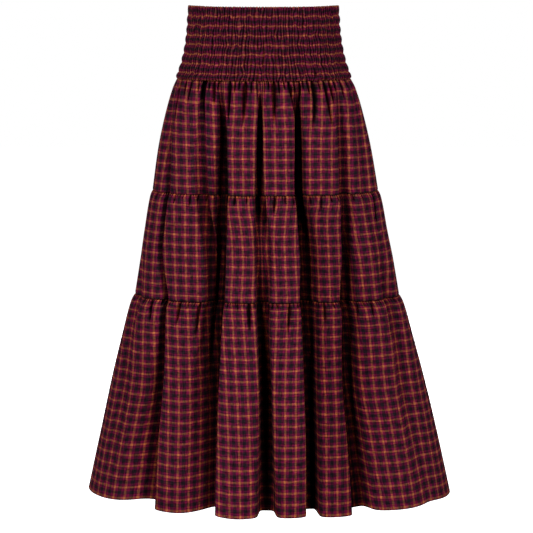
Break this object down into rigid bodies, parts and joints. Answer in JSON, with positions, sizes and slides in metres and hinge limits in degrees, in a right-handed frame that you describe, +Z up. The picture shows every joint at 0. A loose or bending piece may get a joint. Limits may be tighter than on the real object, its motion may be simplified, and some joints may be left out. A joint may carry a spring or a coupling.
{
  "type": "maxi skirt",
  "caption": "Ankle-length skirt with a shirred waistband over gathered tiers of small-check cotton, hanging in long folds as if worn.",
  "frame": {"origin": "centre of the waist opening, level with the waistband's top edge, where the wearer holds the skirt up", "axes": "+Z up, the front faces -Y, +X towards the viewer's right as seen from the front"},
  "size_m": [0.6881, 0.5172, 0.9196],
  "materials": {
    "checked_cotton": "soft brushed cotton with a small woven check in wine, charcoal and orange"
  },
  "bodies": {
    "root": {"waistband_front": "checked_cotton", "waistband_back": "checked_cotton", "tier_one_front": "checked_cotton", "tier_one_back": "checked_cotton", "tier_two_front": "checked_cotton", "tier_two_back": "checked_cotton", "tier_three_front": "checked_cotton", "tier_three_back": "checked_cotton"}
  },
  "joints": []
}
